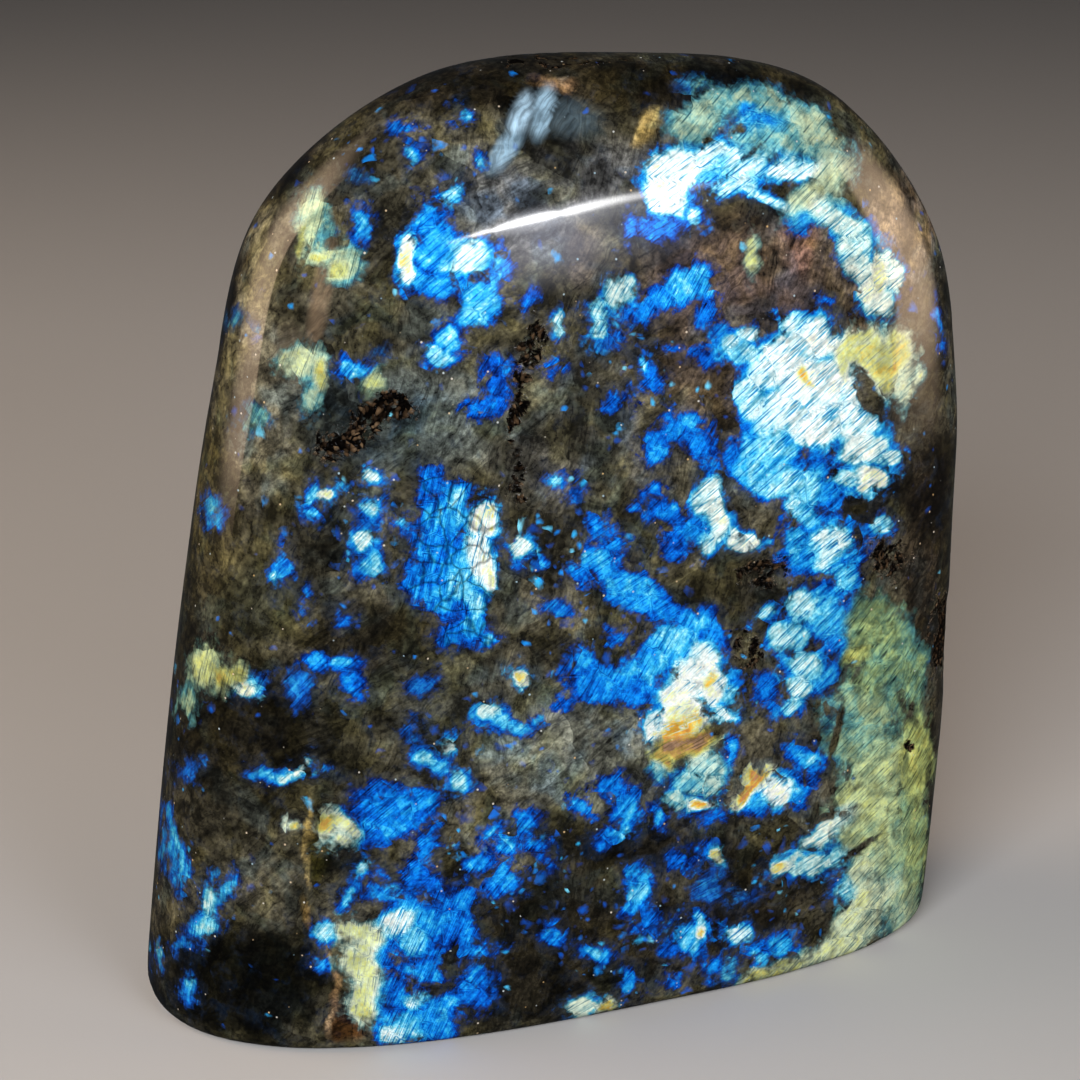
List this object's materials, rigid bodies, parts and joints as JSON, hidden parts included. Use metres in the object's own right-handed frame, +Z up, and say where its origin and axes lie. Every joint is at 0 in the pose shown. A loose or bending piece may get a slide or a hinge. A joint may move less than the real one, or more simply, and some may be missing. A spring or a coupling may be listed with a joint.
{
  "type": "labradorite freeform",
  "caption": "Polished upright labradorite stone with a rounded top and a flat base it stands on, dark smoky body with blue, cyan and gold flash.",
  "frame": {"origin": "on the base, under the middle of the stone's bounding box", "axes": "+Z up through the stone, -Y out of the front that shows the most flash, +X to the right when looking at the front"},
  "size_m": [0.1368, 0.0564, 0.1505],
  "materials": {
    "stone": "high polish, dark smoky feldspar with blue, cyan, green and gold flash"
  },
  "bodies": {
    "root": {"stone": "stone"}
  },
  "joints": []
}
